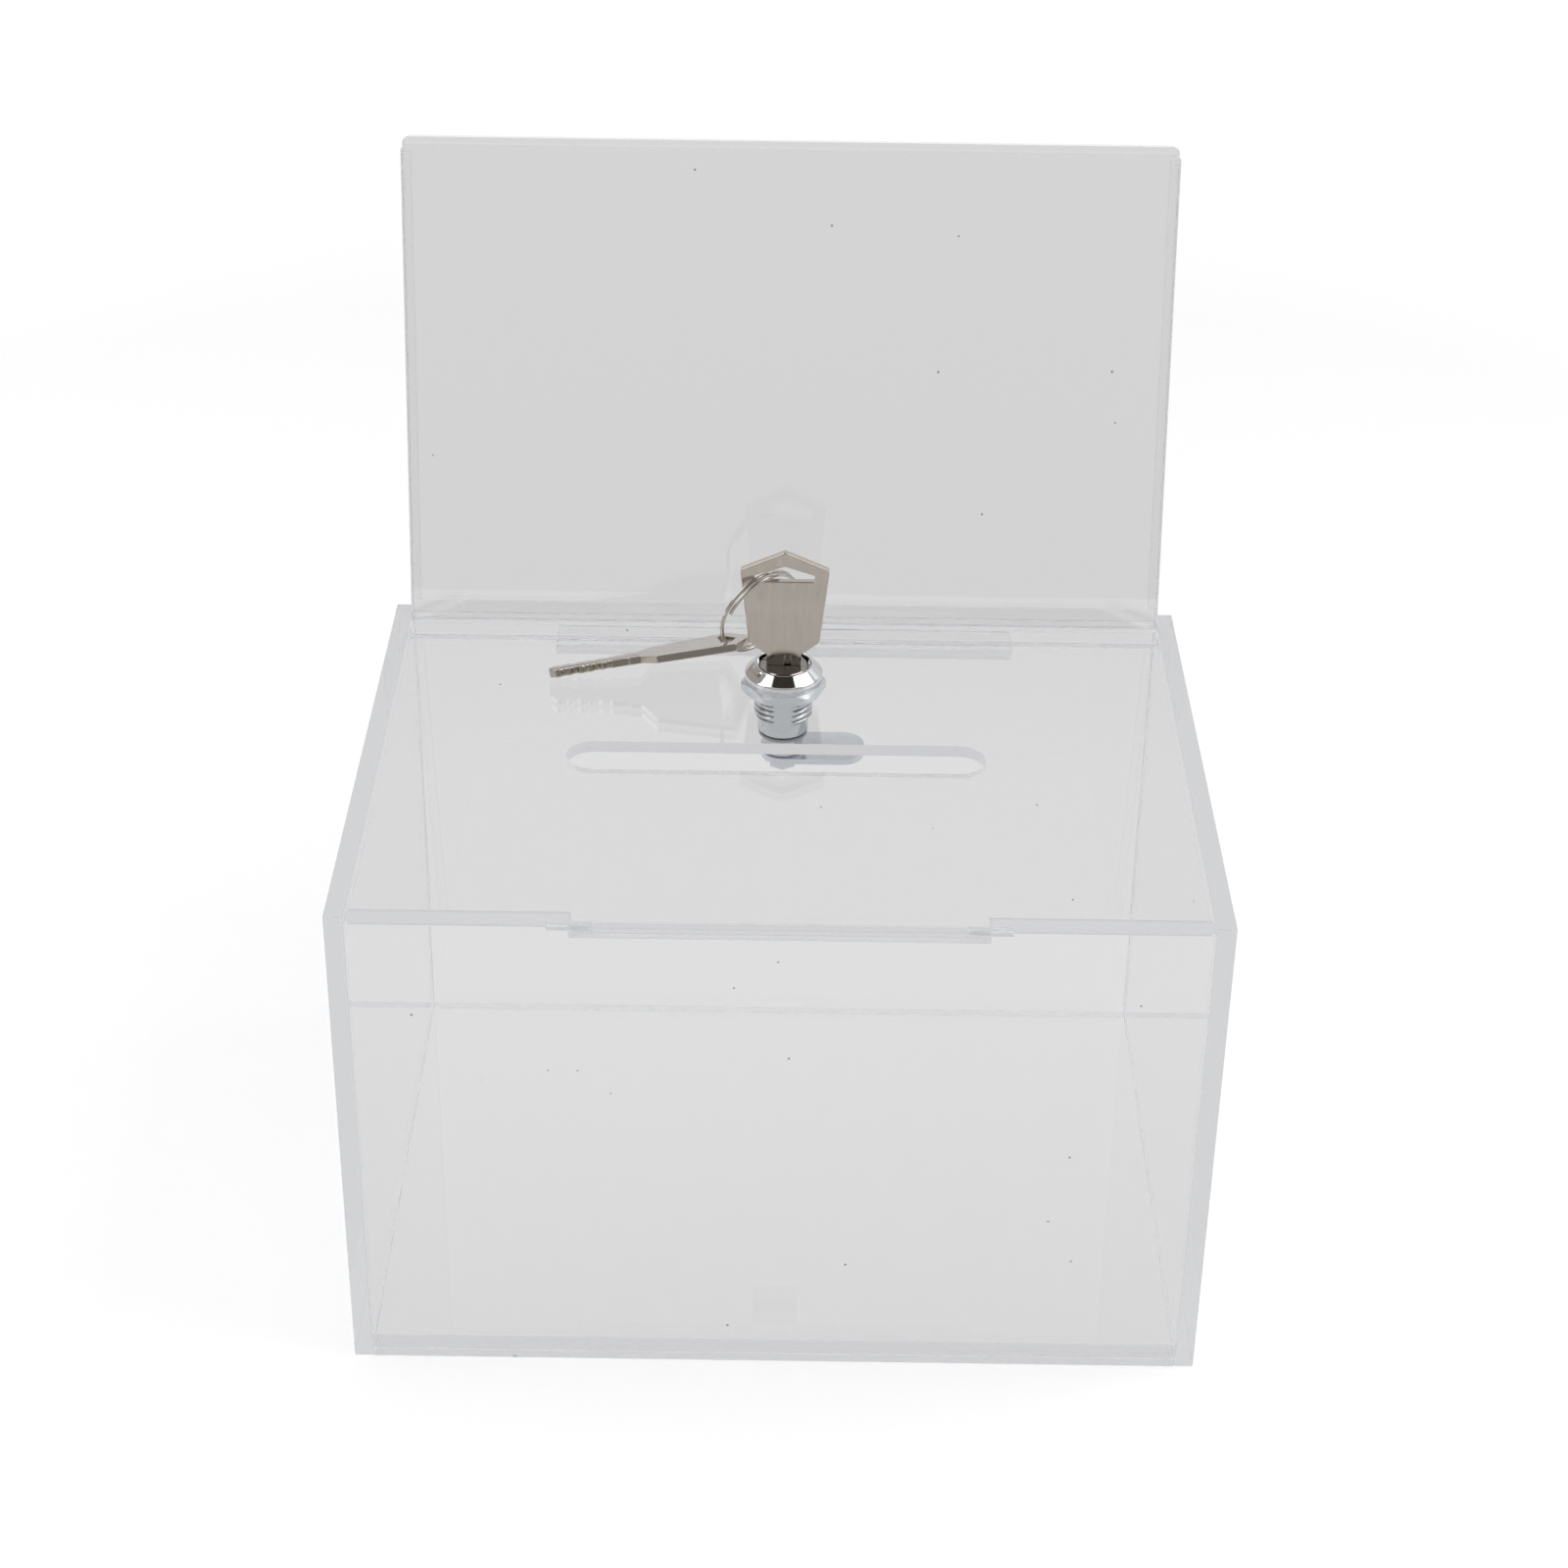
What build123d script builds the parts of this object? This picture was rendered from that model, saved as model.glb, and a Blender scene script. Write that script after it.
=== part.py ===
# Clear acrylic ballot box with a leaning sign holder, a cam lock and two keys.
# Millimetres, Z up. The origin is the middle of the underside, and the front faces -Y.

import os
from math import cos, pi, radians, sin, sqrt, tan

from build123d import *

os.makedirs("parts", exist_ok=True)

# Box of clear sheet
box_width = 200.0
box_depth = 147.0
box_height = 125.0
wall_sheet = 4.5
top_step = 1.2
cut_over = 1.0

# Lid and its hinge tongue
lid_sheet = 3.0
lid_side_gap = 0.4
lid_rear_gap = 0.4
lid_front_gap = 0.7
tongue_width = 92.0
tongue_end_gap = 0.3
tongue_floor_gap = 0.4
tongue_setback = 0.2
slot_length = 100.0
slot_width = 13.0
slot_shift = -1.5
hinge_pin_diameter = 1.4
hinge_pin_seat = 5.0
hinge_pin_end_gap = 1.0
bond_gap = 0.02
running_gap = 0.05

# Rear deck, keeper strip and keeper block
deck_depth = 9.4
deck_sheet = 3.0
keeper_length = 116.0
keeper_sheet = 3.0
keeper_overlap = 2.0
keeper_block_width = 13.0

# Sign holder
sign_side_gap = 0.1
sign_height = 121.0
sign_front_thickness = 3.0
sign_gap = 1.0
sign_rear_thickness = 4.0
sign_lean = 12.5
sign_corner = 1.5
sign_spacer = 6.0
sign_side_strip = 2.5
sign_foot = 8.4
sign_rear_rise = 1.6

# Cam lock
lock_back = 40.8
bezel_diameter = 19.4
bezel_rim = 1.2
bezel_height = 3.5
bezel_lip = 0.55
barrel_diameter = 14.6
barrel_hole_gap = 0.15
thread_pitch = 1.5
thread_depth = 0.55
thread_run = 9.9
thread_flank_share = 0.35
lower_barrel_diameter = 12.6
lower_barrel_run = 4.2
lower_barrel_chamfer = 0.6
barrel_flat_width = 3.9
nut_across_flats = 19.0
nut_turn = 5.0
nut_height = 3.2
nut_bevel_angle = 30.0
nut_thread_gap = 0.03

# Key plug inside the lock
plug_diameter = 10.2
plug_head_diameter = 12.6
plug_head_sink = 0.4
plug_head_height = 1.9
plug_head_gap = 0.55
plug_tail_run = 4.1
plug_tail_bevel = 0.5
keyway_side_gap = 0.15
keyway_edge_gap = 0.2
keyway_end_gap = 0.6
wafer_count = 5
wafer_sheet = 0.9
wafer_pitch = 2.7
wafer_first = 4.6
wafer_width = 6.0
wafer_gap = 0.06
wafer_wall = 0.9
drive_square = 5.0
drive_gap = 0.08

# Cam, toothed washer, retaining ring and cam screw
cam_sheet = 1.5
cam_width = 11.0
cam_reach = 20.5
cam_hub_diameter = 11.0
cam_catch_gap = 0.8
washer_diameter = 9.9
washer_sheet = 0.7
washer_teeth = 12
washer_tooth_depth = 0.8
retainer_diameter = 12.2
retainer_sheet = 0.7
retainer_opening = 4.4
retainer_groove = 0.5
screw_head_across_flats = 6.2
screw_head_height = 2.1
screw_diameter = 4.0
screw_length = 5.4
screw_dimple_diameter = 2.6
screw_dimple_depth = 0.5

# Keys
key_sheet = 1.9
key_length = 51.0
key_blade_width = 7.6
key_blade_length = 19.8
key_tip_taper = 1.6
key_neck_width = 8.6
key_neck_height = 3.0
key_bow_low_width = 17.6
key_bow_top_width = 22.0
key_bow_low = 26.3
key_bow_corner = 46.2
key_corner_round = 0.9
key_eye_half_length = 7.4
key_eye_low = 43.1
key_eye_side_height = 1.7
key_eye_height = 4.1
key_eye_round = 0.6
key_groove_width = 1.5
key_groove_depth = 0.45
key_groove_shift = 0.95
key_bite_pitch = 2.7
key_bite_depth = 1.3
key_bite_shares = (0.45, 0.9, 0.35, 0.75, 0.55)
key_bite_start_share = 0.75
key_bite_floor_share = 0.125
key_bite_run_share = 0.45

# Key ring and the spare key that hangs on it
ring_diameter = 23.9
ring_wire = 0.9
ring_pitch = 1.32
ring_quarters = 7
steps_per_quarter = 60
ring_centre_side = -6.2
ring_centre_back = 2.45
ring_centre_rise = 13.35
ring_turn = 48.4
ring_tip = 15.7
ring_start = 200.0
spare_tip_side = -58.0
spare_tip_back = -5.25
spare_tip_rise = 2.45
spare_turn = 9.9
spare_rise = 6.5
spare_roll = 21.0

# Levels and faces worked out from the sizes above
inner_width = box_width - 2 * wall_sheet
inner_depth = box_depth - 2 * wall_sheet
sign_width = inner_width - 2 * sign_side_gap
lid_top = box_height - top_step
lid_bottom = lid_top - lid_sheet
front_face = -box_depth / 2
deck_front = inner_depth / 2 - deck_depth
hinge_height = lid_top - lid_sheet / 2
hinge_back = front_face + tongue_setback + lid_sheet / 2
notch_width = tongue_width + 2 * tongue_end_gap
shoulder_back = front_face + wall_sheet + lid_front_gap
lid_rear = deck_front - lid_rear_gap
barrel_bottom = lid_bottom - thread_run - lower_barrel_run
plug_face = lid_top + bezel_height - plug_head_sink
plug_head_seat = plug_face - plug_head_height
plug_bottom = barrel_bottom - plug_tail_run
cam_bottom = plug_bottom - cam_sheet
washer_bottom = cam_bottom - washer_sheet
key_tip = plug_face - key_blade_length
lock_axis = Axis((0, lock_back, 0), (0, 0, 1))
lock_section = Plane(origin=(0, lock_back, 0), x_dir=(1, 0, 0), z_dir=(0, -1, 0))


def finish(part, name):
    """Labels a finished piece and writes it to its own file."""
    part.label = name
    export_step(part, f"parts/{name}.step")


# Base, cemented inside the four walls
with BuildPart() as base_panel:
    with BuildSketch(Plane.XY):
        Rectangle(inner_width, inner_depth)
    extrude(amount=wall_sheet)
finish(base_panel.part, "base_panel")

# Side walls, the full depth and height of the box
for side, side_name in ((-1, "left_side_panel"), (1, "right_side_panel")):
    with BuildPart() as side_panel:
        with BuildSketch(Plane.YZ.offset(side * inner_width / 2)):
            with Locations((0, box_height / 2)):
                Rectangle(box_depth, box_height)
        extrude(amount=side * wall_sheet)
    finish(side_panel.part, side_name)

# Front wall, notched along its top for the lid's tongue, with a pin hole at each end of the notch
with BuildPart() as front_panel:
    with BuildSketch(Plane.XZ.offset(inner_depth / 2)):
        with Locations((0, lid_top / 2)):
            Rectangle(inner_width, lid_top)
    extrude(amount=wall_sheet)
    with BuildSketch(Plane.XZ.offset(inner_depth / 2 - cut_over)):
        with Locations((0, lid_bottom - tongue_floor_gap)):
            Rectangle(notch_width, lid_sheet + tongue_floor_gap + cut_over, align=(Align.CENTER, Align.MIN))
    extrude(amount=wall_sheet + 2 * cut_over, mode=Mode.SUBTRACT)
    for side in (-1, 1):
        with BuildSketch(Plane.YZ.offset(side * (notch_width / 2 - cut_over))):
            with Locations((hinge_back, hinge_height)):
                Circle(hinge_pin_diameter / 2 + bond_gap)
        extrude(amount=side * (hinge_pin_seat + cut_over), mode=Mode.SUBTRACT)
finish(front_panel.part, "front_panel")

# Back wall
with BuildPart() as back_panel:
    with BuildSketch(Plane.XZ.offset(-box_depth / 2)):
        with Locations((0, lid_top / 2)):
            Rectangle(inner_width, lid_top)
    extrude(amount=wall_sheet)
finish(back_panel.part, "back_panel")

# Rear deck: the fixed strip of the top that carries the sign holder
with BuildPart() as rear_deck:
    with BuildSketch(Plane.XY.offset(lid_top - deck_sheet)):
        with Locations((0, deck_front + deck_depth / 2)):
            Rectangle(inner_width, deck_depth)
    extrude(amount=deck_sheet)
finish(rear_deck.part, "rear_deck")

# Keeper strip under the deck: the lid's rear edge lies on its front lip
keeper_depth = deck_depth + keeper_overlap
with BuildPart() as keeper_strip:
    with BuildSketch(Plane.XY.offset(lid_top - deck_sheet - keeper_sheet)):
        with Locations((0, inner_depth / 2 - keeper_depth / 2)):
            Rectangle(keeper_length, keeper_depth)
    extrude(amount=keeper_sheet)
finish(keeper_strip.part, "keeper_strip")

# Keeper block under the strip: the cam turns in below it
block_top = lid_top - deck_sheet - keeper_sheet
block_bottom = plug_bottom + cam_catch_gap
with BuildPart() as keeper_block:
    with BuildSketch(Plane.XY.offset(block_bottom)):
        with Locations((0, inner_depth / 2 - keeper_depth / 2)):
            Rectangle(keeper_block_width, keeper_depth)
    extrude(amount=block_top - block_bottom)
finish(keeper_block.part, "keeper_block")

# Lid sheet: ballot slot, lock hole, and a tongue with a round nose that turns in the front notch
with BuildPart() as lid_panel:
    with BuildSketch(Plane.XY.offset(lid_bottom)):
        with Locations((0, (shoulder_back + lid_rear) / 2)):
            Rectangle(inner_width - 2 * lid_side_gap, lid_rear - shoulder_back)
        with Locations((0, (hinge_back + shoulder_back) / 2)):
            Rectangle(tongue_width, shoulder_back - hinge_back)
        with Locations((slot_shift, 0)):
            SlotOverall(slot_length, slot_width, mode=Mode.SUBTRACT)
        with Locations((0, lock_back)):
            Circle(barrel_diameter / 2 + barrel_hole_gap, mode=Mode.SUBTRACT)
    extrude(amount=lid_sheet)
    with BuildSketch(Plane.YZ.offset(-tongue_width / 2)):
        with Locations((hinge_back, hinge_height)):
            Circle(lid_sheet / 2)
    extrude(amount=tongue_width)
    for side in (-1, 1):
        with BuildSketch(Plane.YZ.offset(side * (tongue_width / 2 + cut_over))):
            with Locations((hinge_back, hinge_height)):
                Circle(hinge_pin_diameter / 2 + running_gap)
        extrude(amount=-side * (hinge_pin_seat + cut_over), mode=Mode.SUBTRACT)
finish(lid_panel.part, "lid_panel")

# Two hinge pins, bonded into the ends of the notch and running in the tongue
pin_length = 2 * hinge_pin_seat + tongue_end_gap - hinge_pin_end_gap
with BuildPart() as hinge_pins:
    for side in (-1, 1):
        with BuildSketch(Plane.YZ.offset(side * (notch_width / 2 + hinge_pin_seat))):
            with Locations((hinge_back, hinge_height)):
                Circle(hinge_pin_diameter / 2)
        extrude(amount=-side * pin_length)
finish(hinge_pins.part, "hinge_pins")

# Sign holder: two sheets with a pocket between them, leaning back on the deck and the back wall
lean_cos = cos(radians(sign_lean))
lean_sin = sin(radians(sign_lean))
sign_depth = sign_front_thickness + sign_gap + sign_rear_thickness
sign_front = box_depth / 2 - sign_foot
sign_plane = Plane(origin=(0, sign_front, lid_top), x_dir=(1, 0, 0), z_dir=(0, -lean_cos, lean_sin))
foot_drop = sign_depth * lean_sin / lean_cos
level_cut = Plane.XY.offset(lid_top)


def lean_sheet(behind, thickness, rise, low_rise, width, centre):
    """Makes one leaning layer: its front face lies so far behind the holder's front face."""
    with BuildPart() as layer:
        with BuildSketch(sign_plane.offset(-behind)):
            with Locations((centre, low_rise)):
                Rectangle(width, rise - low_rise, align=(Align.CENTER, Align.MIN))
        extrude(amount=-thickness)
        if low_rise < 0:
            split(bisect_by=level_cut, keep=Keep.TOP)
    return layer.part


def round_top(part, radius):
    """Rounds the two top corners of a leaning sheet."""
    with BuildPart() as sheet:
        add(part)
        across_sheet = sheet.edges().filter_by(Axis(sign_plane.origin, sign_plane.z_dir))
        fillet(across_sheet.group_by(Axis.Z)[-1], radius)
    return sheet.part


front_sheet = lean_sheet(0, sign_front_thickness, sign_height, -foot_drop, sign_width, 0)
finish(round_top(front_sheet, sign_corner), "sign_front_sheet")
rear_sheet = lean_sheet(sign_front_thickness + sign_gap, sign_rear_thickness, sign_height + sign_rear_rise,
                        -foot_drop, sign_width, 0)
finish(round_top(rear_sheet, sign_corner), "sign_rear_sheet")
bottom_spacer = lean_sheet(sign_front_thickness, sign_gap, sign_spacer, -foot_drop, sign_width, 0)
finish(bottom_spacer, "sign_bottom_spacer")
spacer_centre = sign_width / 2 - sign_side_strip / 2
for side, spacer_name in ((-1, "sign_left_spacer"), (1, "sign_right_spacer")):
    side_spacer = lean_sheet(sign_front_thickness, sign_gap, sign_height - sign_corner, sign_spacer,
                             sign_side_strip, side * spacer_centre)
    finish(side_spacer, spacer_name)

# Lock housing: bevelled bezel, threaded barrel with two flats, plain lower end
barrel_radius = barrel_diameter / 2
thread_root_radius = barrel_radius - thread_depth
bezel_radius = bezel_diameter / 2
bore_radius = plug_diameter / 2 + running_gap
head_bore_radius = plug_head_diameter / 2 + plug_head_gap
thread_bottom = lid_bottom - thread_run
thread_count = int((lid_top - thread_bottom) / thread_pitch)
housing_points = [
    (bore_radius, barrel_bottom),
    (lower_barrel_diameter / 2 - lower_barrel_chamfer, barrel_bottom),
    (lower_barrel_diameter / 2, barrel_bottom + lower_barrel_chamfer),
    (lower_barrel_diameter / 2, thread_bottom),
]
for turn in range(thread_count):
    root = thread_bottom + turn * thread_pitch
    housing_points.append((thread_root_radius, root))
    housing_points.append((barrel_radius, root + thread_pitch * thread_flank_share))
    housing_points.append((barrel_radius, root + thread_pitch * (1 - thread_flank_share)))
housing_points += [
    (thread_root_radius, thread_bottom + thread_count * thread_pitch),
    (thread_root_radius, lid_top),
    (bezel_radius, lid_top),
    (bezel_radius, lid_top + bezel_rim),
    (head_bore_radius + bezel_lip, lid_top + bezel_height),
    (head_bore_radius, lid_top + bezel_height),
    (head_bore_radius, plug_head_seat - running_gap),
    (bore_radius, plug_head_seat - running_gap),
]
flat_reach = sqrt(thread_root_radius ** 2 - (barrel_flat_width / 2) ** 2)
with BuildPart() as lock_housing:
    with BuildSketch(lock_section):
        with BuildLine():
            Polyline(*housing_points, close=True)
        make_face()
    revolve(axis=lock_axis)
    with BuildSketch(Plane.XY.offset(thread_bottom)):
        for side in (-1, 1):
            with Locations((0, lock_back + side * (flat_reach + barrel_radius / 2))):
                Rectangle(barrel_diameter, barrel_radius)
    extrude(amount=thread_run, mode=Mode.SUBTRACT)
finish(lock_housing.part, "lock_housing")

# Hex nut that clamps the lock under the lid, with bevelled corners
nut_corner_radius = nut_across_flats / 2 / cos(pi / 6)
nut_bore_radius = barrel_radius + nut_thread_gap
nut_bottom = lid_bottom - nut_height
nut_bevel_rise = (nut_corner_radius - nut_across_flats / 2) * tan(radians(nut_bevel_angle))
with BuildPart() as lock_nut:
    with BuildSketch(Plane.XY.offset(nut_bottom)):
        with Locations((0, lock_back)):
            RegularPolygon(radius=nut_corner_radius, side_count=6, rotation=nut_turn)
            Circle(nut_bore_radius, mode=Mode.SUBTRACT)
    extrude(amount=nut_height)
    with BuildSketch(lock_section):
        with BuildLine():
            Polyline((0, nut_bottom), (nut_across_flats / 2, nut_bottom),
                     (nut_corner_radius, nut_bottom + nut_bevel_rise),
                     (nut_corner_radius, lid_bottom - nut_bevel_rise),
                     (nut_across_flats / 2, lid_bottom), (0, lid_bottom), close=True)
        make_face()
    revolve(axis=lock_axis, mode=Mode.INTERSECT)
finish(lock_nut.part, "lock_nut")

# Key plug: head, body with keyway and wafer slots, tail, square drive for the cam
plug_radius = plug_diameter / 2
plug_points = [
    (0, plug_bottom),
    (plug_radius - plug_tail_bevel, plug_bottom),
    (plug_radius, plug_bottom + plug_tail_bevel),
    (plug_radius, plug_head_seat),
    (plug_head_diameter / 2, plug_head_seat),
    (plug_head_diameter / 2, plug_face - plug_tail_bevel),
    (plug_head_diameter / 2 - plug_tail_bevel, plug_face),
    (0, plug_face),
]
keyway_width = key_blade_width + 2 * keyway_edge_gap
keyway_thickness = key_sheet + 2 * keyway_side_gap
keyway_depth = key_blade_length + keyway_end_gap
retainer_top = barrel_bottom - running_gap
wafer_levels = [plug_face - wafer_first - index * wafer_pitch for index in range(wafer_count)]
wafer_reach = plug_radius - wafer_gap
with BuildPart() as lock_plug:
    with BuildSketch(lock_section):
        with BuildLine():
            Polyline(*plug_points, close=True)
        make_face()
    revolve(axis=lock_axis)
    with BuildSketch(Plane.XY.offset(plug_bottom)):
        with Locations((0, lock_back)):
            Rectangle(drive_square, drive_square)
    extrude(amount=-(cam_sheet - drive_gap))
    with BuildSketch(Plane.XY.offset(plug_face + cut_over)):
        with Locations((0, lock_back)):
            Rectangle(keyway_width, keyway_thickness)
    extrude(amount=-(keyway_depth + cut_over), mode=Mode.SUBTRACT)
    for level in wafer_levels:
        with BuildSketch(Plane.XY.offset(level - wafer_sheet / 2 - wafer_gap)):
            with Locations((0, lock_back)):
                Rectangle(plug_diameter + cut_over, wafer_width + 2 * wafer_gap)
        extrude(amount=wafer_sheet + 2 * wafer_gap, mode=Mode.SUBTRACT)
    with BuildSketch(Plane.XY.offset(cam_bottom)):
        with Locations((0, lock_back)):
            Circle(screw_diameter / 2 + bond_gap)
    extrude(amount=screw_length - washer_sheet, mode=Mode.SUBTRACT)
    with BuildSketch(Plane.XY.offset(retainer_top)):
        with Locations((0, lock_back)):
            Circle(plug_radius + cut_over)
            Circle(plug_radius - retainer_groove, mode=Mode.SUBTRACT)
    extrude(amount=-(retainer_sheet + running_gap), mode=Mode.SUBTRACT)
finish(lock_plug.part, "lock_plug")

# Wafers, drawn flush into the plug by the key that runs through their windows
with BuildPart() as lock_wafers:
    for level in wafer_levels:
        with BuildSketch(Plane.XY.offset(level - wafer_sheet / 2)):
            with Locations((0, lock_back)):
                Circle(wafer_reach)
                Rectangle(plug_diameter, wafer_width, mode=Mode.INTERSECT)
                Rectangle(2 * (wafer_reach - wafer_wall), keyway_thickness, mode=Mode.SUBTRACT)
        extrude(amount=wafer_sheet)
finish(lock_wafers.part, "lock_wafers")

# Retaining ring in the plug's groove, just under the housing
retainer_bore = plug_radius - retainer_groove + running_gap
with BuildPart() as plug_retaining_ring:
    with BuildSketch(Plane.XY.offset(retainer_top - retainer_sheet)):
        with Locations((0, lock_back)):
            Circle(retainer_diameter / 2)
            Circle(retainer_bore, mode=Mode.SUBTRACT)
        with Locations((0, lock_back + retainer_diameter / 2)):
            Rectangle(retainer_opening, retainer_diameter, mode=Mode.SUBTRACT)
    extrude(amount=retainer_sheet)
finish(plug_retaining_ring.part, "plug_retaining_ring")

# Cam: at rest it points to the right, clear of the keeper block
with BuildPart() as lock_cam:
    with BuildSketch(Plane.XY.offset(cam_bottom)):
        with Locations((0, lock_back)):
            Circle(cam_hub_diameter / 2)
        with Locations(((cam_reach - cam_width / 2) / 2, lock_back)):
            Rectangle(cam_reach - cam_width / 2, cam_width)
        with Locations((cam_reach - cam_width / 2, lock_back)):
            Circle(cam_width / 2)
        with Locations((0, lock_back)):
            Rectangle(drive_square + 2 * drive_gap, drive_square + 2 * drive_gap, mode=Mode.SUBTRACT)
    extrude(amount=cam_sheet)
finish(lock_cam.part, "lock_cam")

# Toothed washer under the cam
with BuildPart() as tooth_washer:
    with BuildSketch(Plane.XY.offset(washer_bottom)):
        with Locations((0, lock_back)):
            Circle(washer_diameter / 2)
            Circle(screw_diameter / 2 + running_gap, mode=Mode.SUBTRACT)
            with PolarLocations(washer_diameter / 2, washer_teeth, start_angle=360 / washer_teeth / 2):
                RegularPolygon(radius=washer_tooth_depth, side_count=3, rotation=180, mode=Mode.SUBTRACT)
    extrude(amount=washer_sheet)
finish(tooth_washer.part, "tooth_washer")

# Hex screw that holds the cam on the plug
with BuildPart() as cam_screw:
    with BuildSketch(Plane.XY.offset(washer_bottom)):
        with Locations((0, lock_back)):
            RegularPolygon(radius=screw_head_across_flats / 2 / cos(pi / 6), side_count=6, rotation=30)
    extrude(amount=-screw_head_height)
    with BuildSketch(Plane.XY.offset(washer_bottom)):
        with Locations((0, lock_back)):
            Circle(screw_diameter / 2)
    extrude(amount=screw_length)
    with BuildSketch(Plane.XY.offset(washer_bottom - screw_head_height)):
        with Locations((0, lock_back)):
            Circle(screw_dimple_diameter / 2)
    extrude(amount=screw_dimple_depth, mode=Mode.SUBTRACT)
finish(cam_screw.part, "cam_screw")


def stamp_key(key_plane):
    """Makes one flat key: the plane's origin is the blade's tip, and its Y runs to the bow."""
    half_blade = key_blade_width / 2
    half_neck = key_neck_width / 2
    neck_end = key_blade_length + key_neck_height
    blade_points = [(half_blade - key_tip_taper, 0), (half_blade, key_tip_taper)]
    for index, share in enumerate(key_bite_shares):
        middle = key_tip_taper + (index + key_bite_start_share) * key_bite_pitch
        depth = share * key_bite_depth
        floor = key_bite_pitch * key_bite_floor_share
        run = min(depth + floor, key_bite_pitch * key_bite_run_share)
        blade_points += [
            (half_blade, middle - run),
            (half_blade - depth, middle - floor),
            (half_blade - depth, middle + floor),
            (half_blade, middle + run),
        ]
    blade_points += [
        (half_blade, key_blade_length),
        (half_neck, key_blade_length),
        (half_neck, neck_end),
        (key_bow_low_width / 2, key_bow_low),
        (key_bow_top_width / 2, key_bow_corner),
    ]
    left_points = [(-across, along) for across, along in reversed(blade_points)]
    eye_top = key_eye_low + key_eye_height
    eye_side = key_eye_low + key_eye_side_height
    with BuildPart() as key:
        with BuildSketch(key_plane) as outline:
            with BuildLine():
                Polyline(*blade_points, (0, key_length), *left_points, close=True)
            make_face()
            bow_base = (neck_end + key_bow_low) / 2
            bow_corners = outline.vertices().filter_by_position(Axis.Y, bow_base, key_length + cut_over)
            fillet(bow_corners, key_corner_round)
        extrude(amount=key_sheet / 2, both=True)
        with BuildSketch(key_plane) as eye:
            with BuildLine():
                Polyline((-key_eye_half_length, key_eye_low), (key_eye_half_length, key_eye_low),
                         (key_eye_half_length, eye_side), (0, eye_top),
                         (-key_eye_half_length, eye_side), close=True)
            make_face()
            fillet(eye.vertices(), key_eye_round)
        extrude(amount=key_sheet, both=True, mode=Mode.SUBTRACT)
        groove_length = key_blade_length + key_neck_height
        for side in (-1, 1):
            with BuildSketch(key_plane.offset(side * (key_sheet / 2 - key_groove_depth))):
                with Locations((side * key_groove_shift, groove_length / 2 - cut_over / 2)):
                    Rectangle(key_groove_width, groove_length + cut_over)
            extrude(amount=side * key_sheet, mode=Mode.SUBTRACT)
    return key.part


# Main key, pushed home in the plug with its bow to the front
main_plane = Plane(origin=(0, lock_back, key_tip), x_dir=(1, 0, 0), z_dir=(0, -1, 0))
main_key = stamp_key(main_plane)
finish(main_key, "main_key")

# Spare key, hanging from the ring with its tip lying low over the lid
turn_cos, turn_sin = cos(radians(spare_turn)), sin(radians(spare_turn))
rise_cos, rise_sin = cos(radians(spare_rise)), sin(radians(spare_rise))
roll_cos, roll_sin = cos(radians(spare_roll)), sin(radians(spare_roll))
spare_along = Vector(rise_cos * turn_cos, rise_cos * turn_sin, rise_sin)
level_across = Vector(-turn_sin, turn_cos, 0)
flat_normal = spare_along.cross(level_across)
spare_normal = flat_normal * roll_cos + level_across * roll_sin
spare_across = spare_along.cross(spare_normal)
spare_origin = Vector(spare_tip_side, lock_back + spare_tip_back, lid_top + spare_tip_rise)
spare_plane = Plane(origin=spare_origin, x_dir=spare_across, z_dir=spare_normal)
spare_key = stamp_key(spare_plane)
finish(spare_key, "spare_key")

# Split ring through the eyes of both keys: two flat turns, joined by one quarter turn between them
ring_normal = Vector(-cos(radians(ring_turn)) * cos(radians(ring_tip)),
                     sin(radians(ring_turn)) * cos(radians(ring_tip)), sin(radians(ring_tip)))
ring_level = ring_normal.cross(Vector(0, 0, 1)).normalized()
ring_centre = Vector(ring_centre_side, lock_back + ring_centre_back, plug_face + ring_centre_rise)
ring_plane = Plane(origin=ring_centre, x_dir=ring_level, z_dir=ring_normal)
ring_radius = (ring_diameter - ring_wire) / 2
ring_stops = []
for quarter in range(ring_quarters + 1):
    stop_turn = radians(ring_start) + quarter * pi / 2
    layer = -ring_pitch / 2 if quarter < ring_quarters / 2 else ring_pitch / 2
    spot = Vector(ring_radius * cos(stop_turn), ring_radius * sin(stop_turn), layer)
    ahead = spot + Vector(-sin(stop_turn), cos(stop_turn), 0)
    ring_stops.append((ring_plane.from_local_coords(spot), ring_plane.from_local_coords(ahead)))
with BuildPart() as key_ring:
    with BuildLine() as ring_path:
        for (start, start_ahead), (end, end_ahead) in zip(ring_stops, ring_stops[1:]):
            leave = start_ahead - start
            arrive = end_ahead - end
            span = end - start
            pull = span.dot(leave + arrive)
            bend = 2 * (1 - leave.dot(arrive))
            reach = (sqrt(pull * pull + bend * span.dot(span)) - pull) / bend
            joint = (start + end + (leave - arrive) * reach) / 2
            TangentArc(start, joint, tangent=leave)
            TangentArc(joint, end, tangent=end - arrive * reach - joint)
    ring_wire_path = ring_path.wire()
    with BuildSketch(Plane(origin=ring_stops[0][0], z_dir=ring_stops[0][1] - ring_stops[0][0])):
        Circle(ring_wire / 2)
    sweep(path=ring_wire_path)
finish(key_ring.part, "key_ring")
ring_steps = ring_quarters * steps_per_quarter
ring_samples = [ring_wire_path @ (step / ring_steps) for step in range(ring_steps + 1)]
ring_gap = min(
    (first - second).length
    for place, first in enumerate(ring_samples)
    for second in ring_samples[place + 2 * steps_per_quarter:]
) - ring_wire
print("key ring gap between turns", round(ring_gap, 3))
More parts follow.
